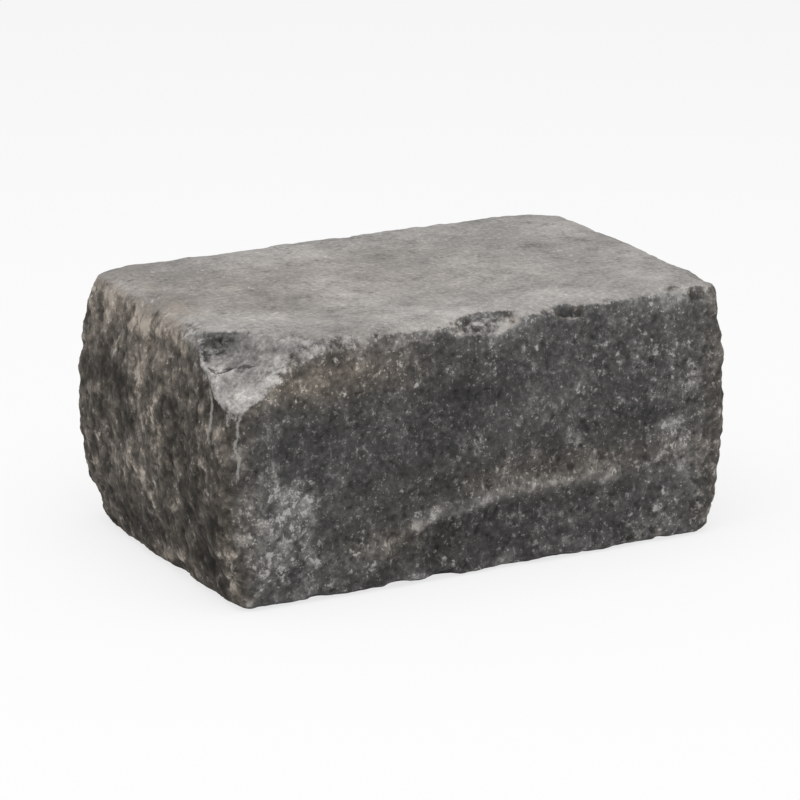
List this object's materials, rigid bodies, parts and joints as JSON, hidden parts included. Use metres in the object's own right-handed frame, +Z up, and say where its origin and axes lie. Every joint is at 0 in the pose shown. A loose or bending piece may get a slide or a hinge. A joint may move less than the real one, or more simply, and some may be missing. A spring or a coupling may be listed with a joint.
{
  "type": "concrete wall block",
  "caption": "Tumbled solid concrete block for dry-stacked garden walls, with flat beds, crowned rough sides and knocked-off edges and corners",
  "frame": {"origin": "middle of the bottom bed, on the level the block rests on", "axes": "+X along the length to the right end, +Y from the front face to the back face, +Z up from the bottom bed to the top bed"},
  "size_m": [0.32, 0.202, 0.146],
  "materials": {
    "concrete": "tumbled dark grey concrete, matte, rough on the sides and smoother on the beds"
  },
  "bodies": {
    "root": {"wall_block": "concrete"}
  },
  "joints": []
}
